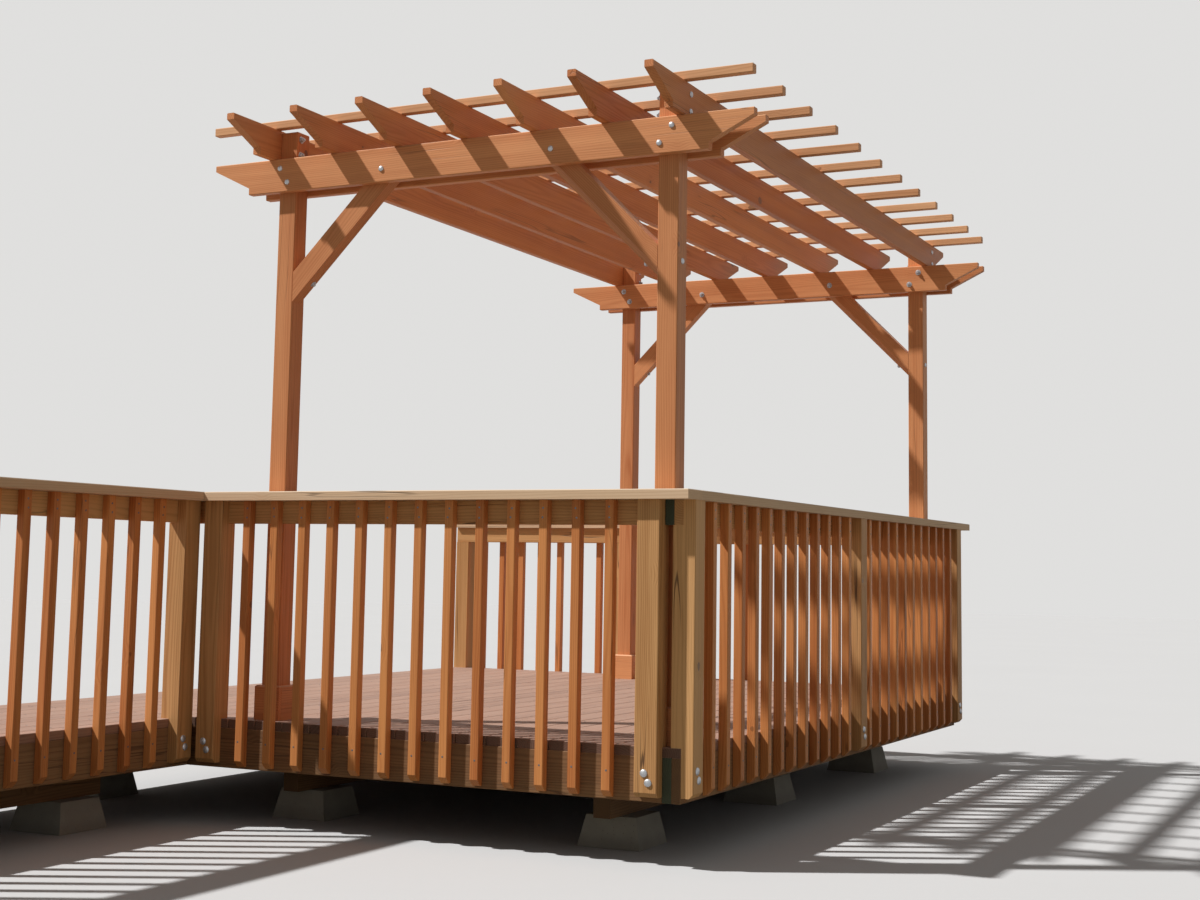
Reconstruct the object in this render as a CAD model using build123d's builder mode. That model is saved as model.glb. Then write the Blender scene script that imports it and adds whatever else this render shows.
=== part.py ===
from build123d import *
import os

os.makedirs("parts", exist_ok=True)

# Timber sections, in millimetres.
board = 38
post = 89
beam_depth = 150
rafter_depth = 140
baluster = 38
rail_post = 96
top_rail_depth = 98
cap_width = 140
joist_depth = 145
girder_depth = 140
eased_edge = 3

# The open frame, measured over the outer faces of its four posts.
frame_width = 1954
frame_depth = 3694
post_height = 2604
beam_underside = 2325
beam_overhang = 333
inner_rafter_count = 5
rafter_front_overhang = 342
rafter_back_overhang = 237
purlin_count = 12
purlin_length = 2633
purlin_left_overhang = 349

# Shaped tails of the beams and rafters.
tail_tip = 28
tail_run = 190
tail_step = 30

# Knee braces at 45 degrees, as thick as the posts, with one lower edge bevelled.
brace_depth = 94
brace_bevel = 28
brace_drop = 360
brace_head_gap = 20

# Collar boards around the foot of every frame post.
collar_thickness = 20
collar_height = 148
collar_chamfer = 6

# The deck that carries the frame, and its side wing.
deck_height = 450
house_side_run = 1400
deck_front_margin = 72
deck_right_margin = 67
deck_back_margin = 316
wing_width = 1070
wing_length = 2235
joist_count = 9
wing_joist_count = 5
girder_end_gap = 250
house_girder_inset = 155
wing_girder_inset = 300
outer_support_inset = 450
pier_width = 280
pier_taper = 12

# Railing around the deck.
rail_underside = 846
post_lap = 51
post_tail = 186
post_tail_bevel = 18
baluster_tail = 197
baluster_tail_bevel = 26
front_pitch = 146
side_pitch = 157.3
corner_post_inset = 77
side_post_inset = 3
side_mid_post_run = 2100
side_last_post_inset = 10
left_post_inset = 80
wing_post_gap = 39
cap_overhang = 83
side_cap_overhang = 55
side_cap_tail = 180
wing_cap_overhang = 100
cap_notch_gap = 3

# Stations along X, Y and Z from the middle of the ground rectangle.
total_width = house_side_run + frame_width + beam_overhang
house_x = -total_width / 2
left_x = house_x + house_side_run
right_x = left_x + frame_width
deck_right_x = right_x + deck_right_margin
wing_x = house_x + wing_width

deck_depth = deck_front_margin + frame_depth + deck_back_margin
wing_end_y = -(wing_length + deck_depth + side_cap_tail) / 2
deck_front_y = wing_end_y + wing_length
front_y = deck_front_y + deck_front_margin
back_y = front_y + frame_depth
deck_back_y = back_y + deck_back_margin

joist_z = deck_height - board - joist_depth
girder_z = joist_z - girder_depth
beam_z = deck_height + beam_underside
rafter_z = beam_z + beam_depth
purlin_z = rafter_z + rafter_depth
rail_z = deck_height + rail_underside
cap_z = rail_z + top_rail_depth
low = (Align.MIN, Align.MIN)


def save(block, name):
    block.part.label = name
    export_step(block.part, f"parts/{name}.step")


def even_steps(start, end, count):
    gap = (end - start - count * board) / (count + 1)
    return [start + gap + number * (gap + board) for number in range(count)]


def baluster_steps(start, end, pitch):
    count = round((end - start - baluster) / pitch)
    first = (start + end - (count - 1) * pitch - baluster) / 2
    return [first + number * pitch for number in range(count)]


# Frame posts, standing on the deck boards.
left_post_x = left_x
right_post_x = right_x - post
front_post_y = front_y
back_post_y = back_y - post
post_feet = {
    "post_front_left": (left_post_x, front_post_y),
    "post_front_right": (right_post_x, front_post_y),
    "post_back_left": (left_post_x, back_post_y),
    "post_back_right": (right_post_x, back_post_y),
}
for name, (x, y) in post_feet.items():
    with BuildPart() as frame_post:
        with BuildSketch(Plane.XY.offset(deck_height)):
            with Locations((x, y)):
                Rectangle(post, post, align=low)
        extrude(amount=post_height)
        chamfer(frame_post.edges().filter_by(Axis.Z), eased_edge)
        chamfer(frame_post.faces().sort_by(Axis.Z)[-1].edges(), eased_edge)
    save(frame_post, name)

# Collars of four boards around the post feet, with a bevelled top edge.
with BuildPart() as post_collars:
    collar_width = post + 2 * collar_thickness
    for x, y in post_feet.values():
        with BuildSketch(Plane.XY.offset(deck_height)):
            with Locations((x + post / 2, y + post / 2)):
                Rectangle(collar_width, collar_width)
                Rectangle(post, post, mode=Mode.SUBTRACT)
        extrude(amount=collar_height)
    collar_top = post_collars.faces().filter_by(Axis.Z).group_by(Axis.Z)[-1]
    chamfer([edge for face in collar_top for edge in face.outer_wire().edges()], collar_chamfer)
save(post_collars, "post_collars")


def tailed_outline(start, length, base, depth):
    end = start + length
    top = base + depth
    return [
        (start, top),
        (start, top - tail_tip),
        (start + tail_run, base + tail_step),
        (start + tail_run, base),
        (end - tail_run, base),
        (end - tail_run, base + tail_step),
        (end, top - tail_tip),
        (end, top),
    ]


# Paired beams clamp the posts from the front and the back.
beam_start_x = left_x - beam_overhang
beam_length = frame_width + 2 * beam_overhang
beam_faces = {
    "beam_front_outer": front_post_y,
    "beam_front_inner": front_post_y + post + board,
    "beam_back_inner": back_post_y,
    "beam_back_outer": back_post_y + post + board,
}
for name, y in beam_faces.items():
    with BuildPart() as beam:
        with BuildSketch(Plane.XZ.offset(-y)):
            Polygon(*tailed_outline(beam_start_x, beam_length, beam_z, beam_depth), align=None)
        extrude(amount=board)
        chamfer(beam.edges().filter_by(Axis.X), eased_edge)
    save(beam, name)

# Rafters lie on the beams. The outer two run past the posts' outer faces.
rafter_start_y = front_post_y - rafter_front_overhang
rafter_length = rafter_front_overhang + frame_depth + rafter_back_overhang
inner_rafters = even_steps(left_x, right_x, inner_rafter_count)
rafter_groups = {
    "rafter_left": [left_x - board],
    "rafters_inner": inner_rafters,
    "rafter_right": [right_x],
}
for name, stations in rafter_groups.items():
    with BuildPart() as rafter:
        for x in stations:
            with BuildSketch(Plane.YZ.offset(x)):
                Polygon(*tailed_outline(rafter_start_y, rafter_length, rafter_z, rafter_depth), align=None)
            extrude(amount=board)
        chamfer(rafter.edges().filter_by(Axis.Y), eased_edge)
    save(rafter, name)

# Square purlins across the rafters, flush with the outer beams at both ends.
purlin_first_y = front_post_y - board / 2
purlin_last_y = back_post_y + post + board / 2
purlin_pitch = (purlin_last_y - purlin_first_y) / (purlin_count - 1)
with BuildPart() as purlins:
    with BuildSketch(Plane.YZ.offset(left_x - purlin_left_overhang)):
        for number in range(purlin_count):
            with Locations((purlin_first_y + number * purlin_pitch, purlin_z + board / 2)):
                Rectangle(board, board)
    extrude(amount=purlin_length)
    chamfer(purlins.edges().filter_by(Axis.X), eased_edge)
save(purlins, "purlins")


# Knee braces run from a post's inner face up between the paired beams.
def knee_brace(name, face_x, y, toward, outline):
    heel_z = beam_z - brace_drop
    head_z = rafter_z - brace_head_gap
    length = (brace_drop + beam_depth + brace_depth) * 2
    section = Plane(origin=(face_x, y, heel_z), x_dir=(0, 1, 0), z_dir=(toward, 0, 1))
    with BuildPart() as brace:
        with BuildSketch(section):
            Polygon(*outline, align=None)
        extrude(amount=length, both=True)
        split(bisect_by=Plane(origin=(face_x, y, heel_z), z_dir=(toward, 0, 0)), keep=Keep.TOP)
        split(bisect_by=Plane.XY.offset(head_z), keep=Keep.BOTTOM)
    save(brace, name)


left_brace_outline = [
    (0, 0),
    (post, 0),
    (post, brace_bevel - brace_depth),
    (post - brace_bevel, -brace_depth),
    (0, -brace_depth),
]
right_brace_outline = [
    (0, 0),
    (post, 0),
    (post, brace_depth),
    (brace_bevel, brace_depth),
    (0, brace_depth - brace_bevel),
]
left_face_x = left_post_x + post
knee_brace("brace_front_left", left_face_x, front_post_y, 1, left_brace_outline)
knee_brace("brace_front_right", right_post_x, front_post_y, -1, right_brace_outline)
knee_brace("brace_back_left", left_face_x, back_post_y, 1, left_brace_outline)
knee_brace("brace_back_right", right_post_x, back_post_y, -1, right_brace_outline)

# Deck boards as two flat floors.
with BuildPart() as deck_floor:
    with BuildSketch(Plane.XY.offset(deck_height)):
        with Locations((house_x, deck_front_y)):
            Rectangle(deck_right_x - house_x, deck_depth, align=low)
    extrude(amount=-board)
save(deck_floor, "deck_floor")

with BuildPart() as wing_floor:
    with BuildSketch(Plane.XY.offset(deck_height)):
        with Locations((house_x, wing_end_y)):
            Rectangle(wing_width, wing_length, align=low)
    extrude(amount=-board)
save(wing_floor, "wing_floor")

# Rim boards and the ledger close the joist frame. Each line is x, y, length in x, length in y.
rim_inner_x = house_x + board
rim_boards = {
    "ledger": (house_x, wing_end_y, board, wing_length + deck_depth),
    "rim_front": (rim_inner_x, deck_front_y, deck_right_x - rim_inner_x, board),
    "rim_right": (deck_right_x - board, deck_front_y + board, board, deck_depth - 2 * board),
    "rim_back": (rim_inner_x, deck_back_y - board, deck_right_x - rim_inner_x, board),
    "rim_wing_side": (wing_x - board, wing_end_y + board, board, wing_length - board),
    "rim_wing_end": (rim_inner_x, wing_end_y, wing_x - rim_inner_x, board),
}
for name, (x, y, length_x, length_y) in rim_boards.items():
    with BuildPart() as rim:
        with BuildSketch(Plane.XY.offset(joist_z)):
            with Locations((x, y)):
                Rectangle(length_x, length_y, align=low)
        extrude(amount=joist_depth)
    save(rim, name)


# Joists run from the ledger to the outer rims, across the run of the deck boards.
def joist_row(name, start_y, end_y, count, end_x):
    with BuildPart() as joists:
        with BuildSketch(Plane.XY.offset(joist_z)):
            for y in even_steps(start_y, end_y, count):
                with Locations((rim_inner_x, y)):
                    Rectangle(end_x - rim_inner_x, board, align=low)
        extrude(amount=joist_depth)
    save(joists, name)


joist_row("joists", deck_front_y + board, deck_back_y - board, joist_count, deck_right_x - board)
joist_row("wing_joists", wing_end_y + board, deck_front_y, wing_joist_count, wing_x - board)

# Doubled girders under the joists. Each line is the middle in x, then the start and the end in y.
house_girder_x = house_x + house_girder_inset
wing_girder_x = wing_x - wing_girder_inset
left_girder_x = left_post_x + post / 2
right_girder_x = deck_right_x - outer_support_inset
girder_lines = [
    (house_girder_x, wing_end_y, deck_back_y),
    (wing_girder_x, wing_end_y, deck_front_y),
    (left_girder_x, deck_front_y, deck_back_y),
    (right_girder_x, deck_front_y, deck_back_y),
]
with BuildPart() as girders:
    with BuildSketch(Plane.XY.offset(girder_z)):
        for x, start_y, end_y in girder_lines:
            with Locations((x, start_y + girder_end_gap)):
                Rectangle(2 * board, end_y - start_y - 2 * girder_end_gap, align=(Align.CENTER, Align.MIN))
    extrude(amount=girder_depth)
save(girders, "girders")

# The girders rest on tapered piers near their ends and halfway along the deck.
front_support_y = deck_front_y + outer_support_inset
back_support_y = deck_back_y - outer_support_inset
middle_support_y = (front_support_y + back_support_y) / 2
far_support_y = wing_end_y + outer_support_inset
near_support_y = deck_front_y - outer_support_inset
support_stations = [(house_girder_x, far_support_y), (wing_girder_x, far_support_y), (wing_girder_x, near_support_y)]
for x in (house_girder_x, left_girder_x, right_girder_x):
    for y in (front_support_y, middle_support_y, back_support_y):
        support_stations.append((x, y))

with BuildPart() as pier_blocks:
    with BuildSketch(Plane.XY):
        with Locations(*support_stations):
            Rectangle(pier_width, pier_width)
    extrude(amount=girder_z, taper=pier_taper)
save(pier_blocks, "pier_blocks")

# Rail posts are notched twice: over the rim board and under the top rail. Their feet are bevelled outside.
post_profile = [
    (post_lap - post_tail_bevel, -post_tail),
    (post_lap, post_tail_bevel - post_tail),
    (post_lap, cap_z - deck_height),
    (0, cap_z - deck_height),
    (0, rail_underside),
    (post_lap - rail_post, rail_underside),
    (post_lap - rail_post, 0),
    (0, 0),
    (0, -post_tail),
]


def rail_posts(name, plane_at, stations):
    with BuildPart() as posts:
        for station in stations:
            with BuildSketch(plane_at(station)):
                Polygon(*post_profile, align=None)
            extrude(amount=rail_post)
        outer_edges = [edge for edge in posts.edges().filter_by(Axis.Z) if edge.length > rail_underside - 1]
        chamfer(outer_edges, eased_edge)
    save(posts, name)


def front_plane(x):
    return Plane(origin=(x + rail_post, deck_front_y, deck_height), x_dir=(0, -1, 0), z_dir=(-1, 0, 0))


def back_plane(x):
    return Plane(origin=(x, deck_back_y, deck_height), x_dir=(0, 1, 0), z_dir=(1, 0, 0))


def right_plane(y):
    return Plane(origin=(deck_right_x, y + rail_post, deck_height), x_dir=(1, 0, 0), z_dir=(0, -1, 0))


def wing_plane(y):
    return Plane(origin=(wing_x, y + rail_post, deck_height), x_dir=(1, 0, 0), z_dir=(0, -1, 0))


corner_post_x = deck_right_x - corner_post_inset - rail_post
inner_post_x = wing_x + left_post_inset
house_post_x = house_x
side_first_y = deck_front_y + side_post_inset
side_mid_y = side_first_y + side_mid_post_run
side_last_y = deck_back_y - side_last_post_inset - rail_post
wing_near_y = deck_front_y - wing_post_gap - rail_post
wing_far_y = wing_end_y
rail_posts("rail_posts_front", front_plane, [inner_post_x, corner_post_x])
rail_posts("rail_posts_back", back_plane, [house_post_x, inner_post_x, corner_post_x])
rail_posts("rail_posts_right", right_plane, [side_first_y, side_mid_y, side_last_y])
rail_posts("rail_posts_wing", wing_plane, [wing_far_y, wing_near_y])


# A railing panel is a top rail on edge, with balusters fixed to its outer face, their feet bevelled outside.
def railing(name, rail_box, baluster_boxes, outward):
    x, y, length_x, length_y = rail_box
    baluster_length = cap_z - deck_height + baluster_tail
    with BuildPart() as panel:
        with BuildSketch(Plane.XY.offset(rail_z)):
            with Locations((x, y)):
                Rectangle(length_x, length_y, align=low)
        extrude(amount=top_rail_depth)
        with BuildSketch(Plane.XY.offset(deck_height - baluster_tail)):
            with Locations(*baluster_boxes):
                Rectangle(baluster, baluster, align=low)
        extrude(amount=baluster_length)
        foot_edges = panel.edges().group_by(Axis.Z)[0]
        chamfer(foot_edges.group_by(outward)[-1], baluster_tail_bevel)
        upright_edges = panel.edges().filter_by(Axis.Z)
        shortest = baluster_length - baluster_tail_bevel - 1
        chamfer([edge for edge in upright_edges if edge.length > shortest], eased_edge)
    save(panel, name)


front_steps = baluster_steps(inner_post_x + rail_post, corner_post_x, front_pitch)
front_balusters = [(x, deck_front_y - baluster) for x in front_steps]
front_rail = (wing_x, deck_front_y, deck_right_x - wing_x, board)
railing("railing_front", front_rail, front_balusters, -Axis.Y)

short_steps = baluster_steps(house_post_x + rail_post, inner_post_x, front_pitch)
back_balusters = [(x, deck_back_y) for x in short_steps + front_steps]
back_rail = (house_x, deck_back_y - board, deck_right_x - house_x, board)
railing("railing_back", back_rail, back_balusters, Axis.Y)

near_steps = baluster_steps(side_first_y + rail_post, side_mid_y, side_pitch)
far_steps = baluster_steps(side_mid_y + rail_post, side_last_y, side_pitch)
side_balusters = [(deck_right_x, y) for y in near_steps + far_steps]
side_rail = (deck_right_x - board, deck_front_y + board, board, deck_depth - 2 * board)
railing("railing_right", side_rail, side_balusters, Axis.X)

wing_steps = baluster_steps(wing_far_y + rail_post, wing_near_y, side_pitch)
wing_balusters = [(wing_x, y) for y in wing_steps]
wing_rail = (wing_x - board, wing_end_y, board, wing_length + board)
railing("railing_wing", wing_rail, wing_balusters, Axis.X)

# Flat caps on the rails. The side cap is notched around the two right posts.
cap_outer_x = deck_right_x + side_cap_overhang
front_cap_y = deck_front_y - cap_overhang
back_cap_y = deck_back_y + cap_overhang - cap_width
wing_cap_x = wing_x + wing_cap_overhang - cap_width
side_cap_y = front_cap_y + cap_width
side_cap_end_y = deck_back_y + side_cap_tail
front_cap_x = wing_cap_x + cap_width
caps = {
    "cap_front": (front_cap_x, front_cap_y, cap_outer_x - front_cap_x, cap_width),
    "cap_right": (cap_outer_x - cap_width, side_cap_y, cap_width, side_cap_end_y - side_cap_y),
    "cap_back": (house_x, back_cap_y, cap_outer_x - cap_width - house_x, cap_width),
    "cap_wing": (wing_cap_x, wing_end_y, cap_width, side_cap_y - wing_end_y),
}
notch_width = post + 2 * cap_notch_gap
for name, (x, y, length_x, length_y) in caps.items():
    with BuildPart() as cap:
        with BuildSketch(Plane.XY.offset(cap_z)):
            with Locations((x, y)):
                Rectangle(length_x, length_y, align=low)
            if name == "cap_right":
                with Locations((right_x + cap_notch_gap, front_post_y + post / 2)):
                    Rectangle(notch_width, notch_width, align=(Align.MAX, Align.CENTER), mode=Mode.SUBTRACT)
                with Locations((right_x + cap_notch_gap, back_post_y + post / 2)):
                    Rectangle(notch_width, notch_width, align=(Align.MAX, Align.CENTER), mode=Mode.SUBTRACT)
        extrude(amount=board)
        chamfer(cap.faces().sort_by(Axis.Z)[-1].edges(), eased_edge)
    save(cap, name)
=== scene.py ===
"""Looks of a timber pergola on a low, railed deck, built as an add-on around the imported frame.

Metres, +Y away from the front railing, +Z up, the ground at zero.
"""

import math
import random

import bmesh
import bpy
from mathutils import Matrix, Vector


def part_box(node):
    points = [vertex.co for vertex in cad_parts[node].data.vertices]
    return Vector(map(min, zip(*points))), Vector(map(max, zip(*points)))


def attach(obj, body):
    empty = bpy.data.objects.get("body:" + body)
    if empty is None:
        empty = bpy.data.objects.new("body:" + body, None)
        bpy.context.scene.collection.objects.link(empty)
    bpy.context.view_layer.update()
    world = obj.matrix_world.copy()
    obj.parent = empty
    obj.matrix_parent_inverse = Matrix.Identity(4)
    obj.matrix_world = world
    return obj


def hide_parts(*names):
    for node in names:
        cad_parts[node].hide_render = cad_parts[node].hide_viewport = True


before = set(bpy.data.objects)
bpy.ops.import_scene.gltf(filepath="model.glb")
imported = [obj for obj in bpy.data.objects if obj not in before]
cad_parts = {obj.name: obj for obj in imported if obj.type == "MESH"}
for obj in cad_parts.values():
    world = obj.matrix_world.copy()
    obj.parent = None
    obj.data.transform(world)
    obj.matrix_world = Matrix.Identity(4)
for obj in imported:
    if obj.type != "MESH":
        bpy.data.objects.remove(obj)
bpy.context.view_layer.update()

bl_info = {
    "name": "Timber Pergola",
    "version": (1, 0, 0),
    "blender": (4, 5, 0),
    "location": "View3D > Sidebar > Pergola",
    "description": "Boards, railings, purlins, fixings and finishes of a timber pergola on a deck",
    "category": "Add Mesh",
}


def span(node, axis):
    """Where a frame node starts and ends along an axis, to a hundredth of a millimetre."""
    return [round(corner["XYZ".index(axis)], 5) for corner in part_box(node)]


def thickness(node, axis):
    start, end = span(node, axis)
    return round(end - start, 5)


def middles(node, axis, count):
    """Middles of the like boards that a frame node spreads evenly along an axis."""
    start, end = span(node, axis)
    pitch = (end - start - BOARD) / (count - 1)
    return [start + BOARD / 2 + pitch * number for number in range(count)]


def end_posts(node, axis):
    """Where the first and the last rail post of a row start."""
    start, end = span(node, axis)
    return start, end - RAIL_POST


# Sections and levels that the timbers share.
BOARD = thickness("rafter_left", "X")
POST = thickness("post_front_left", "X")
RAIL_POST = thickness("rail_posts_right", "X")
DECK_TOP = span("deck_floor", "Z")[1]
CAP_UNDERSIDE = span("cap_front", "Z")[0]
RAFTER_TOP = span("purlins", "Z")[0]
BRACE_HEEL = round(span("brace_front_left", "Z")[0] - DECK_TOP, 3)

# Gaps that keep neighbouring boards apart, and how far equal stations may differ by rounding.
HAIRLINE = 0.0005
CLEARANCE = 0.001
FLOAT_NOISE = 1e-6

# Stations across (X) and along (Y) the deck.
LEDGER_X = span("ledger", "X")[0]
WING_X = span("wing_floor", "X")[1]
LEFT_X = span("post_front_left", "X")[0]
RIGHT_X = span("post_front_right", "X")[1]
DECK_RIGHT_X = span("deck_floor", "X")[1]
SIDE_BOARDS_X = DECK_RIGHT_X - 2 * BOARD - HAIRLINE
WING_END_Y = span("wing_floor", "Y")[0]
DECK_FRONT_Y, DECK_BACK_Y = span("deck_floor", "Y")
FRONT_Y = span("post_front_left", "Y")[0]
BACK_Y = span("post_back_left", "Y")[1]

FRONT_RAIL_POSTS_X = end_posts("rail_posts_front", "X")
BACK_RAIL_POSTS_X = (LEDGER_X, *FRONT_RAIL_POSTS_X)
SIDE_POST_RUN = 2.1
SIDE_NEAR_Y, SIDE_FAR_Y = end_posts("rail_posts_right", "Y")
SIDE_RAIL_POSTS_Y = (SIDE_NEAR_Y, SIDE_NEAR_Y + SIDE_POST_RUN, SIDE_FAR_Y)
WING_RAIL_POSTS_Y = end_posts("rail_posts_wing", "Y")
JOISTS_Y = middles("joists", "Y", 9)
WING_JOISTS_Y = middles("wing_joists", "Y", 5)
OUTER_RAFTERS_X = [sum(span(node, "X")) / 2 for node in ("rafter_left", "rafter_right")]
RAFTERS_X = [OUTER_RAFTERS_X[0], *middles("rafters_inner", "X", 5), OUTER_RAFTERS_X[1]]

# Easing of a timber's long edges and of its ends.
LONG_EASE = 0.003
END_EASE = 0.0015

# How far apart, in metres, two boards may take their figure from the grain.
FIGURE_REACH = 3.0


# Shared helpers.


def settings():
    return bpy.context.scene.pergola


def publish(name, mesh, materials=(), replaces=()):
    """Makes a piece of the object from a finished mesh."""
    piece = loose_object(name, mesh)
    for material in materials:
        piece.data.materials.append(material)
    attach(piece, "root")
    if replaces:
        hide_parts(*replaces)


def loose_object(name, data):
    thing = bpy.data.objects.new(name, data)
    bpy.context.scene.collection.objects.link(thing)
    return thing


def mesh_from(build, name):
    """Runs build on an empty bmesh and returns the finished mesh data."""
    work = bmesh.new()
    build(work)
    bmesh.ops.recalc_face_normals(work, faces=work.faces)
    mesh = bpy.data.meshes.new(name)
    work.to_mesh(mesh)
    work.free()
    return mesh


def skin(work, rings, material=0):
    """Closes a stack of rings of vertices, all with as many corners, into a solid."""
    faces = [work.faces.new(list(reversed(rings[0]))), work.faces.new(rings[-1])]
    for lower, upper in zip(rings, rings[1:]):
        for number in range(len(lower)):
            after = (number + 1) % len(lower)
            faces.append(work.faces.new((lower[number], lower[after], upper[after], upper[number])))
    for face in faces:
        face.material_index = material


def rounded_rectangle(width, height, ease):
    """Corner points of a section whose edges are eased with two facets each."""
    points = []
    bend = ease * (1 - math.sqrt(0.5))
    corners = ((0, 0, 1, 1), (width, 0, -1, 1), (width, height, -1, -1), (0, height, 1, -1))
    for number, (x, y, right, up) in enumerate(corners):
        corner = [(x, y + up * ease), (x + right * bend, y + up * bend), (x + right * ease, y)]
        if number % 2:
            corner.reverse()
        points.extend(corner)
    return points


def add_timber(work, size, axis, ease):
    """Adds one sawn timber to a bmesh, its low corner at the origin and its grain along axis."""
    along = "XYZ".index(axis)
    across = [number for number in range(3) if number != along]
    if along == 1:
        across.reverse()
    width, height, length = size[across[0]], size[across[1]], size[along]
    rings = []
    for distance, inset in ((0, END_EASE), (END_EASE, 0), (length - END_EASE, 0), (length, END_EASE)):
        ring = []
        for u, v in rounded_rectangle(width, height, ease):
            place = [0.0, 0.0, 0.0]
            place[along] = distance
            place[across[0]] = width / 2 + (u - width / 2) * (1 - 2 * inset / width)
            place[across[1]] = height / 2 + (v - height / 2) * (1 - 2 * inset / height)
            ring.append(work.verts.new(place))
        rings.append(ring)
    skin(work, rings)


def timber_object(name, size, axis, ease, foot):
    """A timber with its low corner at the origin, bevelled below on the side that foot names, if any."""

    def build(work):
        add_timber(work, size, axis, ease)
        if foot:
            reach = BOARD / 2 - settings().railing.tail_bevel
            place = Vector((size[0] / 2, size[1] / 2, 0)) + Vector(foot) * reach
            parts = work.verts[:] + work.edges[:] + work.faces[:]
            facing = Vector(foot) + Vector((0, 0, -1))
            cut = bmesh.ops.bisect_plane(work, geom=parts, plane_co=place, plane_no=facing, clear_outer=True)
            edges = [part for part in cut["geom_cut"] if isinstance(part, bmesh.types.BMEdge)]
            bmesh.ops.edgeloop_fill(work, edges=edges)

    return loose_object(name, mesh_from(build, name))


def turned_profile(work, profile, sides):
    """Turns (radius, height) points about Z into a closed solid."""
    rings = []
    for radius, height in profile:
        angles = [math.tau * number / sides for number in range(sides)]
        ring = [(radius * math.cos(turn), radius * math.sin(turn), height) for turn in angles]
        rings.append([work.verts.new(place) for place in ring])
    skin(work, rings)


class Nodes:
    """Adds nodes to a tree and joins them in short calls."""

    def __init__(self, tree):
        self.tree = tree

    def node(self, kind, **fields):
        made = self.tree.nodes.new(kind)
        for field, value in fields.items():
            setattr(made, field, value)
        return made

    def feed(self, socket, source):
        if isinstance(source, bpy.types.NodeSocket):
            self.tree.links.new(source, socket)
        else:
            socket.default_value = source

    def fed(self, kind, inputs, output=0, **fields):
        """Adds a node, feeds the inputs that are named or numbered and returns one output."""
        made = self.node(kind, **fields)
        for socket, source in inputs.items():
            self.feed(made.inputs[socket], source)
        return made.outputs[output]

    def math(self, operation, *values, clamp=False):
        return self.fed("ShaderNodeMath", dict(enumerate(values)), operation=operation, use_clamp=clamp)

    def times(self, value, factor):
        return self.math("MULTIPLY", value, factor)

    def scaled(self, value, factor, plus, clamp=False):
        return self.math("MULTIPLY_ADD", value, factor, plus, clamp=clamp)

    def around(self, value, middle, factor, plus):
        """How far value stands from a middle, times factor, plus a base."""
        return self.scaled(self.math("SUBTRACT", value, middle), factor, plus)

    def vector(self, operation, *values):
        output = "Value" if operation == "LENGTH" else "Vector"
        return self.fed("ShaderNodeVectorMath", dict(enumerate(values)), output, operation=operation)

    def split(self, vector):
        made = self.node("ShaderNodeSeparateXYZ")
        self.feed(made.inputs[0], vector)
        return made.outputs

    def combine(self, *values):
        return self.fed("ShaderNodeCombineXYZ", dict(enumerate(values)))

    def random(self, kind, seed, low, high):
        """A random number or vector for each element, from low to high."""
        first, output = (0, 0) if kind == "FLOAT_VECTOR" else (2, 1)
        inputs = {first: low, first + 1: high, "Seed": seed}
        return self.fed("FunctionNodeRandomValue", inputs, output, data_type=kind)

    def noise(self, place, scale, detail=2.0, roughness=0.5, distortion=0.0):
        """Noise from 0 to 1 at a scale of features per metre, which may differ by axis."""
        if isinstance(scale, tuple):
            place = self.vector("MULTIPLY", place, scale)
            scale = 1.0
        shape = {"Detail": detail, "Roughness": roughness, "Distortion": distortion}
        return self.fed("ShaderNodeTexNoise", {"Vector": place, "Scale": scale, **shape}, "Fac")

    def cells(self, place, scale):
        """Outputs of scattered cells: their distance, colour and position."""
        made = self.node("ShaderNodeTexVoronoi")
        self.feed(made.inputs["Vector"], place)
        self.feed(made.inputs["Scale"], scale)
        return made.outputs

    def ease(self, value, start, end, low=0.0, high=1.0):
        """Goes smoothly from low to high as value goes from start to end."""
        limits = {"From Min": start, "From Max": end, "To Min": low, "To Max": high}
        return self.fed("ShaderNodeMapRange", {"Value": value, **limits}, interpolation_type="SMOOTHSTEP")

    def mix(self, amount, first, second, blend="MIX"):
        inputs = {0: amount, 6: first, 7: second}
        return self.fed("ShaderNodeMix", inputs, 2, data_type="RGBA", blend_type=blend)

    def bump(self, height, distance, strength=1.0):
        return self.fed("ShaderNodeBump", {"Height": height, "Distance": distance, "Strength": strength})

    def seen_directly(self):
        """1 where the camera sees the surface itself or mirrored, 0 where it only lights the object."""
        path = self.node("ShaderNodeLightPath").outputs
        mirrored = self.math("MAXIMUM", path["Is Glossy Ray"], path["Is Transmission Ray"])
        return self.math("MAXIMUM", path["Is Camera Ray"], mirrored)


def new_tree(name, kind, inputs, outputs):
    tree = bpy.data.node_groups.new(name, kind)
    for way, sockets in (("INPUT", inputs), ("OUTPUT", outputs)):
        for label, socket in sockets.items():
            tree.interface.new_socket(name=label, in_out=way, socket_type="NodeSocket" + socket)
    kit = Nodes(tree)
    return kit, kit.node("NodeGroupInput").outputs


# Geometry nodes.


def given_object(kit, socket):
    return kit.fed("GeometryNodeObjectInfo", {"Object": socket}, "Geometry", transform_space="ORIGINAL")


def end_row_tree(kit, instances, given):
    """Gives every instance a tone and a shift, for its own figure, and makes one mesh of them."""
    far = (FIGURE_REACH,) * 3
    near = (-FIGURE_REACH,) * 3
    for name, kind, low, high in (("tone", "FLOAT", 0.0, 1.0), ("shift", "FLOAT_VECTOR", near, far)):
        drawn = kit.random(kind, given["Seed"], low, high)
        inputs = {"Geometry": instances, "Name": name, "Value": drawn}
        instances = kit.fed("GeometryNodeStoreNamedAttribute", inputs, data_type=kind, domain="INSTANCE")
    real = kit.fed("GeometryNodeRealizeInstances", {"Geometry": instances})
    painted = kit.fed("GeometryNodeSetMaterial", {"Geometry": real, "Material": given["Finish"]})
    kit.feed(kit.node("NodeGroupOutput").inputs["Geometry"], painted)


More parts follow.
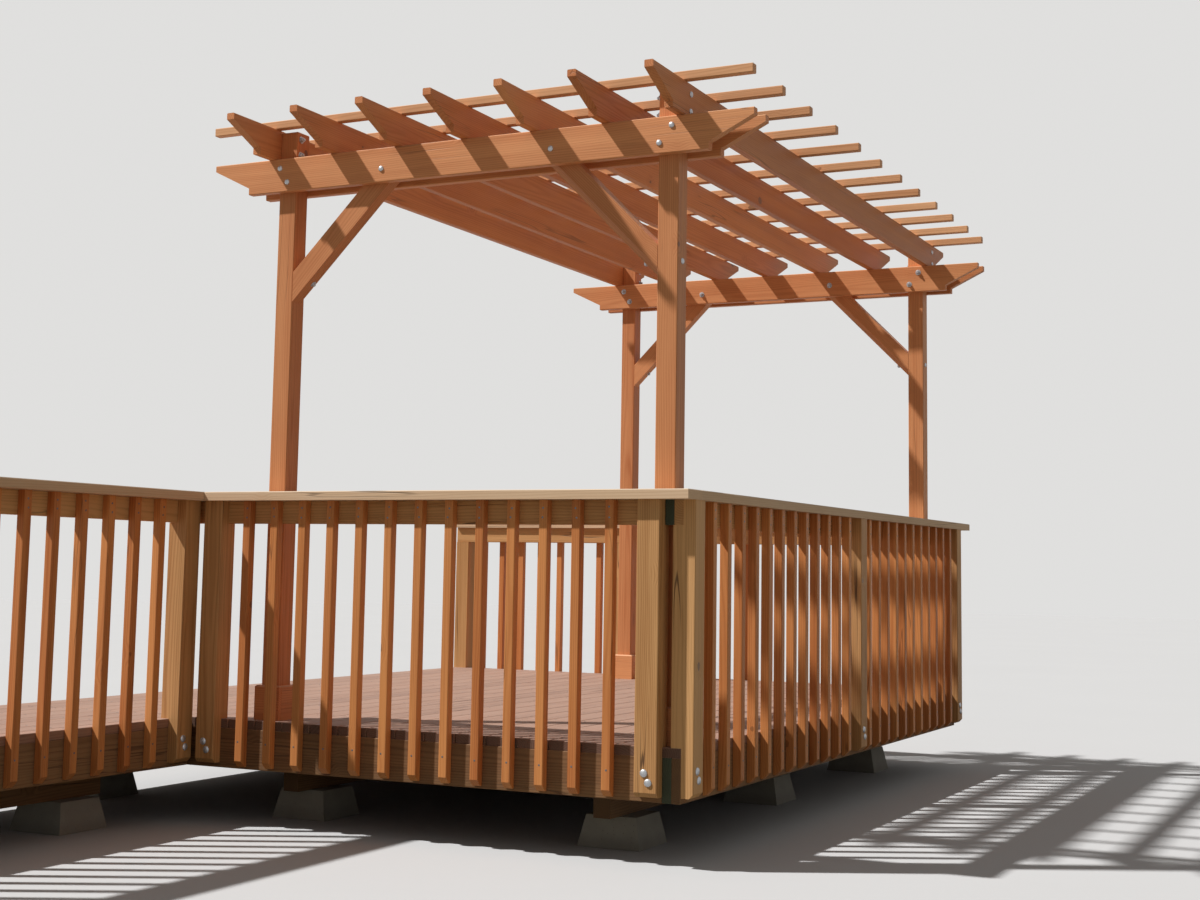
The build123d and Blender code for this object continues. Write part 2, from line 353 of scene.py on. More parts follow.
def timber_row_group():
    """Repeats one timber along a line, each with its own slight play, tone and figure."""
    name = "Timber row"
    if name in bpy.data.node_groups:
        return bpy.data.node_groups[name]
    inputs = {
        "Geometry": "Geometry",
        "Timber": "Object",
        "Count": "Int",
        "First": "Vector",
        "Step": "Vector",
        "Play": "Vector",
        "Seed": "Int",
        "Finish": "Material",
    }
    kit, given = new_tree(name, "GeometryNodeTree", inputs, {"Geometry": "Geometry"})
    line = {"Count": given["Count"], "Start Location": given["First"], "Offset": given["Step"]}
    points = kit.fed("GeometryNodeMeshLine", line, mode="OFFSET")
    timber = given_object(kit, given["Timber"])
    placed = kit.fed("GeometryNodeInstanceOnPoints", {"Points": points, "Instance": timber})
    wander = kit.random("FLOAT_VECTOR", given["Seed"], (0, 0, 0), (1, 1, 1))
    play = kit.vector("MULTIPLY", wander, given["Play"])
    moved = kit.fed("GeometryNodeTranslateInstances", {"Instances": placed, "Translation": play})
    end_row_tree(kit, moved, given)
    return kit.tree


def fixing_group():
    """Sets one fixing on every point of the input, standing along the point's facing direction."""
    name = "Fixings on points"
    if name in bpy.data.node_groups:
        return bpy.data.node_groups[name]
    inputs = {"Geometry": "Geometry", "Fixing": "Object", "Seed": "Int", "Finish": "Material"}
    kit, given = new_tree(name, "GeometryNodeTree", inputs, {"Geometry": "Geometry"})
    spin = kit.combine(0.0, 0.0, kit.random("FLOAT", given["Seed"], 0.0, math.tau))
    turned = kit.fed("FunctionNodeEulerToRotation", {0: spin})
    stored = {"Name": "facing"}
    facing = kit.fed("GeometryNodeInputNamedAttribute", stored, "Attribute", data_type="FLOAT_VECTOR")
    aligned = kit.fed("FunctionNodeAlignRotationToVector", {"Rotation": turned, "Vector": facing}, axis="Z")
    fixing = given_object(kit, given["Fixing"])
    inputs = {"Points": given["Geometry"], "Instance": fixing, "Rotation": aligned}
    end_row_tree(kit, kit.fed("GeometryNodeInstanceOnPoints", inputs), given)
    return kit.tree


def baked(carrier, group, values, name):
    """Runs a node group on carrier with the given inputs and returns the plain mesh it makes."""
    modifier = carrier.modifiers.new(group.name, "NODES")
    modifier.node_group = group
    for item in group.interface.items_tree:
        if item.item_type == "SOCKET" and item.in_out == "INPUT" and item.name in values:
            modifier[item.identifier] = values[item.name]
    carrier.update_tag()
    bpy.context.view_layer.update()
    depsgraph = bpy.context.evaluated_depsgraph_get()
    mesh = bpy.data.meshes.new_from_object(
        carrier.evaluated_get(depsgraph), preserve_all_data_layers=True, depsgraph=depsgraph
    )
    mesh.name = name
    if not mesh.polygons:
        raise RuntimeError(f"{name}: the node group made no faces")
    bpy.data.objects.remove(carrier)
    return mesh


def timber_row(
    name, size, axis, first, step, count, material, seed, play=(0, 0, 0), ease=LONG_EASE, foot=None
):
    """A plain mesh of count timbers in a row."""
    timber = timber_object(name + " timber", size, axis, ease, foot)
    carrier = loose_object(name + " carrier", bpy.data.meshes.new(name + " carrier"))
    values = {
        "Timber": timber,
        "Count": count,
        "First": first,
        "Step": step,
        "Play": play,
        "Seed": seed,
        "Finish": material,
    }
    mesh = baked(carrier, timber_row_group(), values, name)
    bpy.data.objects.remove(timber)
    return mesh


def one_timber(name, size, axis, low, material, seed):
    """A plain mesh of a single timber."""
    return timber_row(name, size, axis, low, (0, 0, 0), 1, material, seed)


def fixings_mesh(name, points, make, material, seed):
    """A plain mesh of one fixing set at every (place, facing) pair."""
    cloud = bpy.data.meshes.new(name + " points")
    cloud.from_pydata([place for place, _ in points], [], [])
    facing = cloud.attributes.new("facing", "FLOAT_VECTOR", "POINT")
    facing.data.foreach_set("vector", [value for _, direction in points for value in direction])
    fixing = loose_object(name + " model", mesh_from(make, name + " model"))
    carrier = loose_object(name + " carrier", cloud)
    mesh = baked(carrier, fixing_group(), {"Fixing": fixing, "Seed": seed, "Finish": material}, name)
    bpy.data.objects.remove(fixing)
    return mesh


def joined(name, meshes):
    """One mesh from several, which keeps their tone and shift attributes and their materials."""
    parts = [loose_object(f"{name} part {number}", mesh) for number, mesh in enumerate(meshes)]
    with bpy.context.temp_override(
        active_object=parts[0], object=parts[0], selected_objects=parts, selected_editable_objects=parts
    ):
        bpy.ops.object.join()
    mesh = parts[0].data
    mesh.name = name
    bpy.data.objects.remove(parts[0])
    return mesh


# Shaders.

# What a wood finish sets, in the order of the values in FINISHES.
FINISH_SOCKETS = {
    "Light": "Color",
    "Dark": "Color",
    "Bleached": "Color",
    "Bleaching": "Float",
    "Contrast": "Float",
    "Knots": "Float",
    "Checks": "Float",
    "End grain and shade": "Float",
    "Roughness": "Float",
}
FINISHES = {
    "pergola": ((0.74, 0.33, 0.145), (0.44, 0.135, 0.043), (0.64, 0.43, 0.28), 0.45, 0.72, 1, 0.5, 1.2, 0.55),
    # Purlins: a lighter copy of the pergola finish, whose extra paleness is painted sunlight.
    "purlin": ((0.80, 0.44, 0.23), (0.52, 0.23, 0.10), (0.68, 0.49, 0.34), 0.45, 0.75, 0.8, 0.4, 1.1, 0.55),
    "baluster": ((0.72, 0.30, 0.10), (0.45, 0.135, 0.036), (0.62, 0.42, 0.23), 0.4, 0.9, 0.7, 0.5, 1.0, 0.55),
    "rail": ((0.72, 0.41, 0.18), (0.41, 0.19, 0.066), (0.62, 0.47, 0.31), 0.4, 1.0, 1.0, 1.0, 0.9, 0.6),
    "cap": ((0.74, 0.54, 0.37), (0.56, 0.35, 0.20), (0.64, 0.55, 0.44), 0.75, 0.8, 0.9, 0.7, 1.1, 0.65),
    # The low end factor of the deck finish, and of the joist finish below, paints shade onto the board ends.
    "deck": ((0.34, 0.195, 0.14), (0.17, 0.085, 0.058), (0.42, 0.29, 0.235), 0.55, 1.1, 0.8, 0.8, 0.45, 0.72),
    # A dark greenish grey finish, for the inner cut ends at the front right corner.
    "treated": ((0.10, 0.115, 0.075), (0.045, 0.055, 0.035), (0.16, 0.16, 0.12), 0.2, 1, 0.5, 0.5, 0.8, 0.8),
    "joist": ((0.30, 0.165, 0.078), (0.135, 0.066, 0.029), (0.34, 0.23, 0.145), 0.3, 1, 1.1, 0.7, 0.6, 0.75),
}

# Turns that bring a timber's grain to lie along X.
TURNS = {
    "X": (0.0, 0.0, 0.0),
    "Y": (0.0, 0.0, -math.pi / 2),
    "Z": (0.0, math.pi / 2, 0.0),
    "rising": (0.0, math.pi / 4, 0.0),
    "falling": (0.0, -math.pi / 4, 0.0),
}

KNOT_CELLS_PER_METRE = (2.1, 8.0, 8.0)
KNOT_COLOUR = (0.055, 0.018, 0.008, 1)
CHECK_COLOUR = (0.05, 0.022, 0.012, 1)
RING_SPACING = 0.0085


def knots(kit, place, given):
    """Cores and halos of knots, which are round in the face."""
    squeezed = kit.vector("MULTIPLY", place, KNOT_CELLS_PER_METRE)
    cells = kit.cells(squeezed, 1.0)
    cell = kit.split(cells["Color"])
    away = kit.vector("SUBTRACT", cells["Position"], squeezed)
    away = kit.vector("MULTIPLY", away, (0.476, 0.125, 0.125))
    ragged = kit.scaled(kit.noise(place, 70.0, 2), 0.006, -0.003)
    distance = kit.math("ADD", kit.vector("LENGTH", kit.vector("MULTIPLY", away, (0.72, 1, 1))), ragged)
    outside = kit.math("SUBTRACT", distance, kit.scaled(cell[1], 0.014, 0.007))
    chosen = kit.times(kit.math("GREATER_THAN", cell[0], 0.62), given["Knots"])
    return kit.times(kit.ease(outside, 0.0, -0.002), chosen), kit.times(kit.ease(outside, 0.035, 0.0), chosen)


def growth_rings(kit, place, halo):
    """Rings round a wandering pith, which flow round the knots."""
    axes = kit.split(place)
    across = kit.math("PINGPONG", kit.scaled(axes[0], 0.012, axes[1]), 0.083)
    depth = kit.math("PINGPONG", kit.scaled(axes[0], -0.009, axes[2]), 0.101)
    reach = kit.vector("LENGTH", kit.combine(across, depth, 0.0))
    reach = kit.scaled(kit.noise(place, (0.8, 7.0, 7.0), 2), 0.045, reach)
    reach = kit.scaled(halo, 0.016, reach)
    wave = kit.math("SINE", kit.times(reach, math.tau / RING_SPACING))
    return kit.math("POWER", kit.scaled(wave, 0.5, 0.5), 2.0)


def drying_checks(kit, place, given):
    """Thin dark lines along the grain, in a few places."""
    line = kit.math("SUBTRACT", kit.noise(place, (0.7, 21.0, 21.0), 1.5), 0.5)
    line = kit.ease(kit.math("ABSOLUTE", line), 0.014, 0.002)
    where = kit.noise(kit.vector("ADD", place, (7.1, 3.3, 5.9)), (0.9, 5.0, 5.0), 1)
    return kit.times(kit.times(line, kit.ease(where, 0.56, 0.66)), given["Checks"])


def timber_grain_group():
    """Figure of sawn softwood. Place runs along the grain in X; Facing is the normal in the same axes."""
    name = "Timber grain"
    if name in bpy.data.node_groups:
        return bpy.data.node_groups[name]
    inputs = {"Place": "Vector", "Facing": "Vector", "Up": "Float", "Tone": "Float", **FINISH_SOCKETS}
    outputs = {"Color": "Color", "Roughness": "Float", "Normal": "Vector"}
    kit, given = new_tree(name, "ShaderNodeTree", inputs, outputs)
    place, up = given["Place"], given["Up"]
    core, halo = knots(kit, place, given)
    ring = growth_rings(kit, place, halo)
    check = drying_checks(kit, place, given)
    fibre = kit.noise(place, (5.0, 230.0, 230.0), 3, 0.6)
    streak = kit.noise(place, (0.5, 15.0, 15.0), 4, 0.62, 0.35)
    patch = kit.noise(place, (1.4, 4.0, 4.0), 2)

    # Lightness of the wood, from 0 to 1.
    total = kit.around(streak, 0.5, 1.5, 0.0)
    total = kit.around(patch, 0.5, 0.7, total)
    total = kit.around(fibre, 0.5, 0.55, total)
    total = kit.around(ring, 0.4, -0.34, total)
    total = kit.times(total, given["Contrast"])
    total = kit.around(given["Tone"], 0.5, 0.55, total)
    total = kit.math("ADD", total, 0.58, clamp=True)
    colour = kit.mix(total, given["Dark"], given["Light"])

    # Ends cut across the grain are darker, scaled by each finish's end factor; the low factors of the deck
    # and joist finishes add painted shade to those ends. Eased edges are worn paler.
    parts = kit.split(kit.vector("ABSOLUTE", given["Facing"]))
    ended = kit.mix(kit.scaled(ring, 0.35, 0.35), colour, given["Dark"])
    ended = kit.mix(1.0, ended, given["End grain and shade"], "MULTIPLY")
    colour = kit.mix(kit.times(kit.ease(parts[0], 0.65, 0.85), 0.85), colour, ended)
    most = kit.math("MAXIMUM", kit.math("MAXIMUM", parts[0], parts[1]), parts[2])
    worn = kit.ease(kit.noise(place, (9.0, 30.0, 30.0), 3), 0.35, 0.65)
    wear = kit.times(kit.times(kit.ease(most, 0.97, 0.92), worn), kit.ease(up, -0.1, 0.5, 0.06, 0.4))
    colour = kit.mix(wear, colour, kit.mix(0.5, given["Light"], given["Bleached"]))

    # Sun and rain bleach what faces up, unevenly.
    open_sky = kit.times(kit.ease(up, 0.3, 0.9), given["Bleaching"])
    uneven = kit.scaled(kit.noise(place, (2.2, 9.0, 9.0), 3, 0.6), 1.1, 0.3, clamp=True)
    colour = kit.mix(kit.times(open_sky, uneven), colour, given["Bleached"])

    knot_dark = kit.mix(0.62, colour, KNOT_COLOUR)
    colour = kit.mix(kit.times(halo, 0.22), colour, given["Dark"])
    colour = kit.mix(core, colour, knot_dark)
    colour = kit.mix(kit.times(check, 0.8), colour, CHECK_COLOUR)

    rough = kit.around(streak, 0.5, 0.25, given["Roughness"])
    rough = kit.scaled(core, -0.12, rough, clamp=True)
    height = kit.scaled(fibre, 0.6, kit.times(ring, 0.25))
    height = kit.scaled(check, -2.2, height)
    height = kit.scaled(core, 0.5, height)
    output = kit.node("NodeGroupOutput").inputs
    kit.feed(output["Color"], colour)
    kit.feed(output["Roughness"], rough)
    kit.feed(output["Normal"], kit.bump(height, 0.0007, 0.8))
    return kit.tree


def new_material(name):
    material = bpy.data.materials.new(name)
    material.use_nodes = True
    kit = Nodes(material.node_tree)
    surface = material.node_tree.nodes["Principled BSDF"].inputs
    return material, kit, surface, kit.node("ShaderNodeTexCoord").outputs


def own_figure(kit, place, tone, cells, seed):
    """Tone of one timber, and place moved so that the timber has a figure of its own."""
    if cells:
        scale, offset = cells
        cell = kit.vector("FLOOR", kit.vector("MULTIPLY_ADD", place, scale, offset))
        scatter = kit.node("ShaderNodeTexWhiteNoise", noise_dimensions="3D")
        kit.feed(scatter.inputs["Vector"], kit.vector("ADD", cell, (seed + 0.5, 0.5, 0.5)))
        shift = kit.vector("MULTIPLY", scatter.outputs["Color"], (2 * FIGURE_REACH,) * 3)
        return scatter.outputs["Value"], kit.vector("ADD", place, shift)
    if tone is not None:
        chance = random.Random(seed)
        shift = tuple(chance.uniform(-FIGURE_REACH, FIGURE_REACH) for _ in range(3))
        return tone, kit.vector("ADD", place, shift)
    read_tone = kit.node("ShaderNodeAttribute", attribute_name="tone")
    read_shift = kit.node("ShaderNodeAttribute", attribute_name="shift")
    return read_tone.outputs["Fac"], kit.vector("ADD", place, read_shift.outputs["Vector"])


def timber_material(name, finish, axis, tone=None, cells=None, seed=0):
    """A timber finish with its grain along axis. Cells tell the solids of one node apart: (scale, offset).

    Without a tone or cells, the tone and shift stored on the mesh tell its timbers apart.
    """
    material, kit, surface, source = new_material(name)
    tone, place = own_figure(kit, source["Object"], tone, cells, seed)
    grain = kit.node("ShaderNodeGroup", node_tree=timber_grain_group())
    for socket, vector, kind in (("Place", place, "POINT"), ("Facing", source["Normal"], "VECTOR")):
        turned = {"Vector": vector, "Rotation": TURNS[axis]}
        kit.feed(grain.inputs[socket], kit.fed("ShaderNodeMapping", turned, vector_type=kind))
    kit.feed(grain.inputs["Up"], kit.split(source["Normal"])[2])
    kit.feed(grain.inputs["Tone"], tone)
    for socket, value in zip(FINISH_SOCKETS, FINISHES[finish]):
        grain.inputs[socket].default_value = (*value, 1) if FINISH_SOCKETS[socket] == "Color" else value
    kit.feed(surface["Base Color"], grain.outputs["Color"])
    kit.feed(surface["Roughness"], grain.outputs["Roughness"])
    kit.feed(surface["Normal"], grain.outputs["Normal"])
    surface["Specular IOR Level"].default_value = 0.3
    return material


def steel_material(name, colour, roughness):
    """Galvanised steel with a faint spangle and dull patches."""
    material, kit, surface, source = new_material(name)
    spangle = kit.split(kit.cells(source["Object"], 420.0)["Color"])[0]
    dull = kit.noise(source["Object"], 160.0, 4, 0.6)
    value = kit.scaled(spangle, 0.25, kit.times(dull, 0.5))
    shade = kit.mix(value, (*[part * 0.62 for part in colour], 1), (*colour, 1))
    kit.feed(surface["Base Color"], shade)
    kit.feed(surface["Roughness"], kit.scaled(dull, 0.3, roughness - 0.15))
    kit.feed(surface["Normal"], kit.bump(dull, 0.0002))
    surface["Metallic"].default_value = 0.75
    return material


def concrete_material():
    """Cast concrete with air holes, stains and a damp foot."""
    material, kit, surface, source = new_material("Cast concrete")
    place = source["Object"]
    cloud = kit.noise(place, 7.0, 5, 0.6)
    sand = kit.noise(place, 260.0, 2)
    hole = kit.ease(kit.cells(place, 60.0)["Distance"], 0.16, 0.05)
    damp = kit.ease(kit.split(place)[2], 0.07, 0.0)
    colour = kit.mix(cloud, (0.24, 0.225, 0.20, 1), (0.47, 0.45, 0.41, 1))
    colour = kit.mix(kit.times(sand, 0.3), colour, (0.30, 0.28, 0.25, 1))
    colour = kit.mix(kit.times(hole, 0.6), colour, (0.12, 0.11, 0.10, 1))
    colour = kit.mix(kit.times(damp, 0.45), colour, (0.13, 0.12, 0.09, 1))
    kit.feed(surface["Base Color"], colour)
    kit.feed(surface["Roughness"], kit.scaled(cloud, 0.15, 0.78))
    height = kit.scaled(hole, -1.0, kit.times(sand, 0.4))
    kit.feed(surface["Normal"], kit.bump(height, 0.0015))
    return material


# Settings.


class DeckSettings(bpy.types.PropertyGroup):
    board_count: bpy.props.IntProperty(
        name="Board count", description="Boards across the main floor", default=24, min=4, max=60
    )
    board_gap: bpy.props.FloatProperty(
        name="Board gap", description="Open joint between two boards", default=0.005, unit="LENGTH"
    )
    board_ease: bpy.props.FloatProperty(
        name="Board edge", description="Radius of the boards' long edges", default=0.004, unit="LENGTH"
    )
    end_play: bpy.props.FloatProperty(
        name="End play", description="Unevenness of the boards' cut ends", default=0.006, unit="LENGTH"
    )
    rim_drop: bpy.props.FloatProperty(
        name="Rim drop", description="Reach of the rim boards below the joists", default=0.025, unit="LENGTH"
    )
    seed: bpy.props.IntProperty(name="Seed", description="Seed of the boards' tones", default=11)


class RailingSettings(bpy.types.PropertyGroup):
    front_pitch: bpy.props.FloatProperty(
        name="Front pitch", description="Baluster spacing, front and back", default=0.146, unit="LENGTH"
    )
    side_pitch: bpy.props.FloatProperty(
        name="Side pitch", description="Baluster spacing, side and wing", default=0.1573, unit="LENGTH"
    )
    tail: bpy.props.FloatProperty(
        name="Tail", description="How far balusters hang below the deck top", default=0.197, unit="LENGTH"
    )
    tail_bevel: bpy.props.FloatProperty(
        name="Tail bevel", description="Outer bevel of a baluster's foot", default=0.026, unit="LENGTH"
    )
    rail_depth: bpy.props.FloatProperty(
        name="Rail depth", description="Depth of the top rails, on edge", default=0.098, unit="LENGTH"
    )
    seed: bpy.props.IntProperty(name="Seed", description="Seed of the balusters' tones", default=23)


class RoofSettings(bpy.types.PropertyGroup):
    purlin_count: bpy.props.IntProperty(
        name="Purlin count", description="Square purlins over the rafters", default=12, min=2, max=40
    )
    purlin_length: bpy.props.FloatProperty(
        name="Purlin length", description="Length of each purlin", default=2.633, unit="LENGTH"
    )
    seed: bpy.props.IntProperty(name="Seed", description="Seed of the purlins' tones", default=31)


class FixingSettings(bpy.types.PropertyGroup):
    head_radius: bpy.props.FloatProperty(
        name="Head radius", description="Radius of the frame's bolt heads", default=0.0125, unit="LENGTH"
    )
    railing_head_radius: bpy.props.FloatProperty(
        name="Railing head", description="Radius of the railing's bolt heads", default=0.0155, unit="LENGTH"
    )
    washer_radius: bpy.props.FloatProperty(
        name="Washer radius", description="Radius of the washer under a nut", default=0.016, unit="LENGTH"
    )
    nail_radius: bpy.props.FloatProperty(
        name="Nail radius", description="Radius of a nail head", default=0.0042, unit="LENGTH"
    )
    steel: bpy.props.FloatVectorProperty(
        name="Steel", description="Colour of the fixings", default=(0.62, 0.64, 0.67), subtype="COLOR"
    )
    seed: bpy.props.IntProperty(name="Seed", description="Seed of the fixings' turns", default=47)


class StageSettings(bpy.types.PropertyGroup):
    floor_colour: bpy.props.FloatVectorProperty(
        name="Floor", description="Colour of the studio floor", default=(0.554, 0.564, 0.585), subtype="COLOR"
    )
    sun_strength: bpy.props.FloatProperty(name="Sun", description="Strength of the main light", default=4.6)
    sky_strength: bpy.props.FloatProperty(name="Sky", description="Strength of the soft light", default=0.22)
    lens: bpy.props.FloatProperty(name="Lens", description="Focal length on a 36 mm sensor", default=51.1)


class PergolaSettings(bpy.types.PropertyGroup):
    deck: bpy.props.PointerProperty(type=DeckSettings, name="Deck", description="Deck boards")
    railing: bpy.props.PointerProperty(type=RailingSettings, name="Railing", description="Rails, balusters")
    roof: bpy.props.PointerProperty(type=RoofSettings, name="Roof", description="Purlins")
    fixing: bpy.props.PointerProperty(type=FixingSettings, name="Fixings", description="Bolts and nails")
    stage: bpy.props.PointerProperty(type=StageSettings, name="Stage", description="Floor, light and camera")


# Boards and timbers.

# Gap where the wing's boards meet the main floor's, and how far the wing's ripped board stands back.
WING_JOINT = 0.002
RIPPED_SETBACK = 0.003
PURLIN_PLAY = 0.004
RIMS = ("rim_front", "rim_back", "rim_right", "rim_wing_side", "rim_wing_end")
CORNER_SEED = 70
RIM_SEED = 75
COLLAR_SEED = 60


def deck_grid():
    """Pitch and width of the deck boards, and how many whole ones the wing takes."""
    choice = settings().deck
    pitch = (DECK_RIGHT_X - LEDGER_X + choice.board_gap) / choice.board_count
    return pitch, pitch - choice.board_gap, int((WING_X - LEDGER_X) / pitch)


class PERGOLA_OT_deck_boards(bpy.types.Operator):
    """Lays the deck boards parallel to the ledger, over the main floor and the wing"""

    bl_idname = "pergola.deck_boards"
    bl_label = "Deck boards"

    def execute(self, context):
        choice = settings().deck
        finish = timber_material("Deck board", "deck", "Y")
        pitch, width, whole = deck_grid()
        length = DECK_BACK_Y - DECK_FRONT_Y - choice.end_play
        wing_length = DECK_FRONT_Y - WING_END_Y - choice.end_play - WING_JOINT
        ripped_x = LEDGER_X + whole * pitch
        ripped_y = WING_END_Y + RIPPED_SETBACK
        play = (0, choice.end_play, 0)
        rows = (
            ("Main deck boards", LEDGER_X, DECK_FRONT_Y, width, length, choice.board_count, play),
            ("Wing boards", LEDGER_X, WING_END_Y, width, wing_length, whole, play),
            ("Ripped board", ripped_x, ripped_y, WING_X - ripped_x, wing_length, 1, (0, 0, 0)),
        )
        meshes = []
        for number, (name, x, y, wide, long, count, shift) in enumerate(rows):
            size, first, step = (wide, long, BOARD), (x, y, DECK_TOP - BOARD), (pitch, 0, 0)
            seed, ease = choice.seed + number, choice.board_ease
            meshes.append(timber_row(name, size, "Y", first, step, count, finish, seed, shift, ease))
        main, wing, ripped = meshes
        publish("deck_boards", main, (), ("deck_floor",))
        publish("wing_boards", joined("Wing boards joined", [wing, ripped]), (), ("wing_floor",))
        return {"FINISHED"}


def corner_ends(name, low_z, depth, outer):
    """The cut ends of the doubled side boards, a dark greenish one inside and one of the outer finish beside
    it.
    """
    meshes = []
    for number, finish in enumerate(("treated", outer)):
        low = (SIDE_BOARDS_X + number * (BOARD + HAIRLINE), DECK_FRONT_Y, low_z)
        timber = timber_material(f"{name} end {finish}", finish, "Y")
        size = (BOARD, BOARD, depth)
        meshes.append(one_timber(f"{name} {finish}", size, "Y", low, timber, CORNER_SEED + number))
    return meshes


def baluster_row(start, end, pitch):
    """Where the first baluster between two rail posts starts, and how many there are."""
    count = round((end - start - BOARD) / pitch)
    return (start + end - (count - 1) * pitch - BOARD) / 2, count


def railing_runs():
    """Each run's name, way out, rail (low corner, size) and rows of balusters (first place, step, count)."""
    choice = settings().railing
    depth = choice.rail_depth
    front_length = SIDE_BOARDS_X - CLEARANCE - WING_X
    back_length = DECK_RIGHT_X - LEDGER_X
    side_length = DECK_BACK_Y - DECK_FRONT_Y - 2 * BOARD
    wing_length = DECK_FRONT_Y - WING_END_Y + BOARD
    front, back, right, wing = FRONT_RAIL_POSTS_X, BACK_RAIL_POSTS_X, SIDE_RAIL_POSTS_Y, WING_RAIL_POSTS_Y
    # Name, way along, way out, low corner of the rail, its length, rail posts, and the balusters' near side.
    runs = (
        ("front", 0, -1, (WING_X, DECK_FRONT_Y), front_length, front, DECK_FRONT_Y - BOARD),
        ("back", 0, 1, (LEDGER_X, DECK_BACK_Y - BOARD), back_length, back, DECK_BACK_Y),
        ("right", 1, 1, (DECK_RIGHT_X - BOARD, DECK_FRONT_Y + BOARD), side_length, right, DECK_RIGHT_X),
        ("wing", 1, 1, (WING_X - BOARD, WING_END_Y), wing_length, wing, WING_X),
    )
    for name, along, out, low, length, posts, side in runs:
        pitch = choice.side_pitch if along else choice.front_pitch
        outward = (out, 0, 0) if along else (0, out, 0)
        step = (0, pitch, 0) if along else (pitch, 0, 0)
        size = (BOARD, length, depth) if along else (length, BOARD, depth)
        rows = []
        for post, following in zip(posts, posts[1:]):
            first, count = baluster_row(post + RAIL_POST, following, pitch)
            rows.append(((side, first) if along else (first, side), step, count))
        yield f"railing_{name}", outward, (*low, CAP_UNDERSIDE - depth), size, rows


class PERGOLA_OT_railings(bpy.types.Operator):
    """Builds the four railings: a rail on edge and its rows of balusters"""

    bl_idname = "pergola.railings"
    bl_label = "Railings"

    def execute(self, context):
        choice = settings().railing
        baluster_finish = timber_material("Baluster", "baluster", "Z")
        rail_finish = {axis: timber_material(f"Top rail {axis}", "rail", axis) for axis in "XY"}
        low_z = DECK_TOP - choice.tail
        baluster = (BOARD, BOARD, CAP_UNDERSIDE - low_z)
        for number, (name, outward, corner, size, rows) in enumerate(railing_runs()):
            axis = "X" if size[0] > size[1] else "Y"
            seed = choice.seed + 10 * number
            meshes = [one_timber(name + " rail", size, axis, corner, rail_finish[axis], seed)]
            for row, ((x, y), step, count) in enumerate(rows):
                first = (x, y, low_z)
                row_name = f"{name} row {row}"
                row_seed = seed + row + 1
                balusters = timber_row(
                    row_name, baluster, "Z", first, step, count, baluster_finish, row_seed, foot=outward
                )
                meshes.append(balusters)
            if name == "railing_front":
                meshes.extend(corner_ends(name, corner[2], choice.rail_depth, "rail"))
            publish(name + "_timbers", joined(name, meshes), (), (name,))
        return {"FINISHED"}


class PERGOLA_OT_rims(bpy.types.Operator):
    """Builds the rim boards; the front one stops at the cut ends of the doubled side boards"""

    bl_idname = "pergola.rims"
    bl_label = "Rim boards"

    def execute(self, context):
        for number, name in enumerate(RIMS):
            low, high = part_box(name)
            low.z -= settings().deck.rim_drop
            size = high - low
            if name == "rim_front":
                size.x = SIDE_BOARDS_X - CLEARANCE - low.x
            axis = "X" if size.x > size.y else "Y"
            finish = timber_material(f"{name} timber", "joist", axis)
            meshes = [one_timber(f"{name} board", tuple(size), axis, tuple(low), finish, RIM_SEED + number)]
            if name == "rim_front":
                meshes.extend(corner_ends(name, low.z, size.z, "joist"))
            publish(f"{name}_timbers", joined(f"{name} timbers", meshes), (), (name,))
        return {"FINISHED"}


class PERGOLA_OT_purlins(bpy.types.Operator):
    """Lays the square purlins over the rafters"""

    bl_idname = "pergola.purlins"
    bl_label = "Purlins"

    def execute(self, context):
        choice = settings().roof
        low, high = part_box("purlins")
        mesh = timber_row(
            "Purlin row",
            (choice.purlin_length - PURLIN_PLAY, BOARD, BOARD - CLEARANCE),
            "X",
            tuple(low),
            (0, (high.y - low.y - BOARD) / (choice.purlin_count - 1), 0),
            choice.purlin_count,
            # The purlin finish is paler than the pergola's: painted sunlight.
            timber_material("Purlin", "purlin", "X"),
            choice.seed,
            (PURLIN_PLAY, 0, 0),
        )
        publish("purlin_timbers", mesh, (), ("purlins",))
        return {"FINISHED"}


def collar_board(work, low, high, bevel, chamfered, material):
    """A board between two corners, whose top edge is bevelled on the chamfered sides (axis, edge, way in)."""
    outline = [(low.x, low.y), (high.x, low.y), (high.x, high.y), (low.x, high.y)]
    rings = []
    for z, inset in ((low.z, 0.0), (high.z - bevel, 0.0), (high.z, bevel)):
        ring = []
        for corner in outline:
            place = Vector((*corner, z))
            for axis, edge, inward in chamfered:
                if abs(corner[axis] - edge) < FLOAT_NOISE:
                    place[axis] += inward * inset
            ring.append(work.verts.new(place))
        rings.append(ring)
    skin(work, rings, material)


class PERGOLA_OT_collars(bpy.types.Operator):
    """Fits four boards with a bevelled top edge around each post foot"""

    bl_idname = "pergola.collars"
    bl_label = "Post collars"

    def execute(self, context):
        low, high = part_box("post_collars")
        board, bevel, joint = 0.020, 0.006, 0.0004
        reach = POST + 2 * board

        def build(work):
            for x in (low.x, high.x - reach):
                for y in (low.y, high.y - reach):
                    right, back = x + reach, y + reach
                    left_side, right_side = (0, x, 1), (0, right, -1)
                    for near in (y, back - board):
                        outer = (left_side, right_side, (1, y, 1) if near == y else (1, back, -1))
                        start = Vector((x, near, low.z))
                        end = Vector((x + reach, near + board - joint, high.z))
                        collar_board(work, start, end, bevel, outer, 0)
                    for side in (x, right - board):
                        start = Vector((side, y + board + joint, low.z))
                        end = Vector((side + board, y + reach - board - joint, high.z))
                        collar_board(work, start, end, bevel, (left_side if side == x else right_side,), 1)

        mesh = mesh_from(build, "Collar boards")
        cells = ((0.55, 0.3, 0.0), (0.6, 0.4, 0.5))
        finishes = [
            timber_material(f"Collar {axis}", "pergola", axis, cells=cells, seed=COLLAR_SEED) for axis in "XY"
        ]
        publish("collar_boards", mesh, finishes, ("post_collars",))
        return {"FINISHED"}


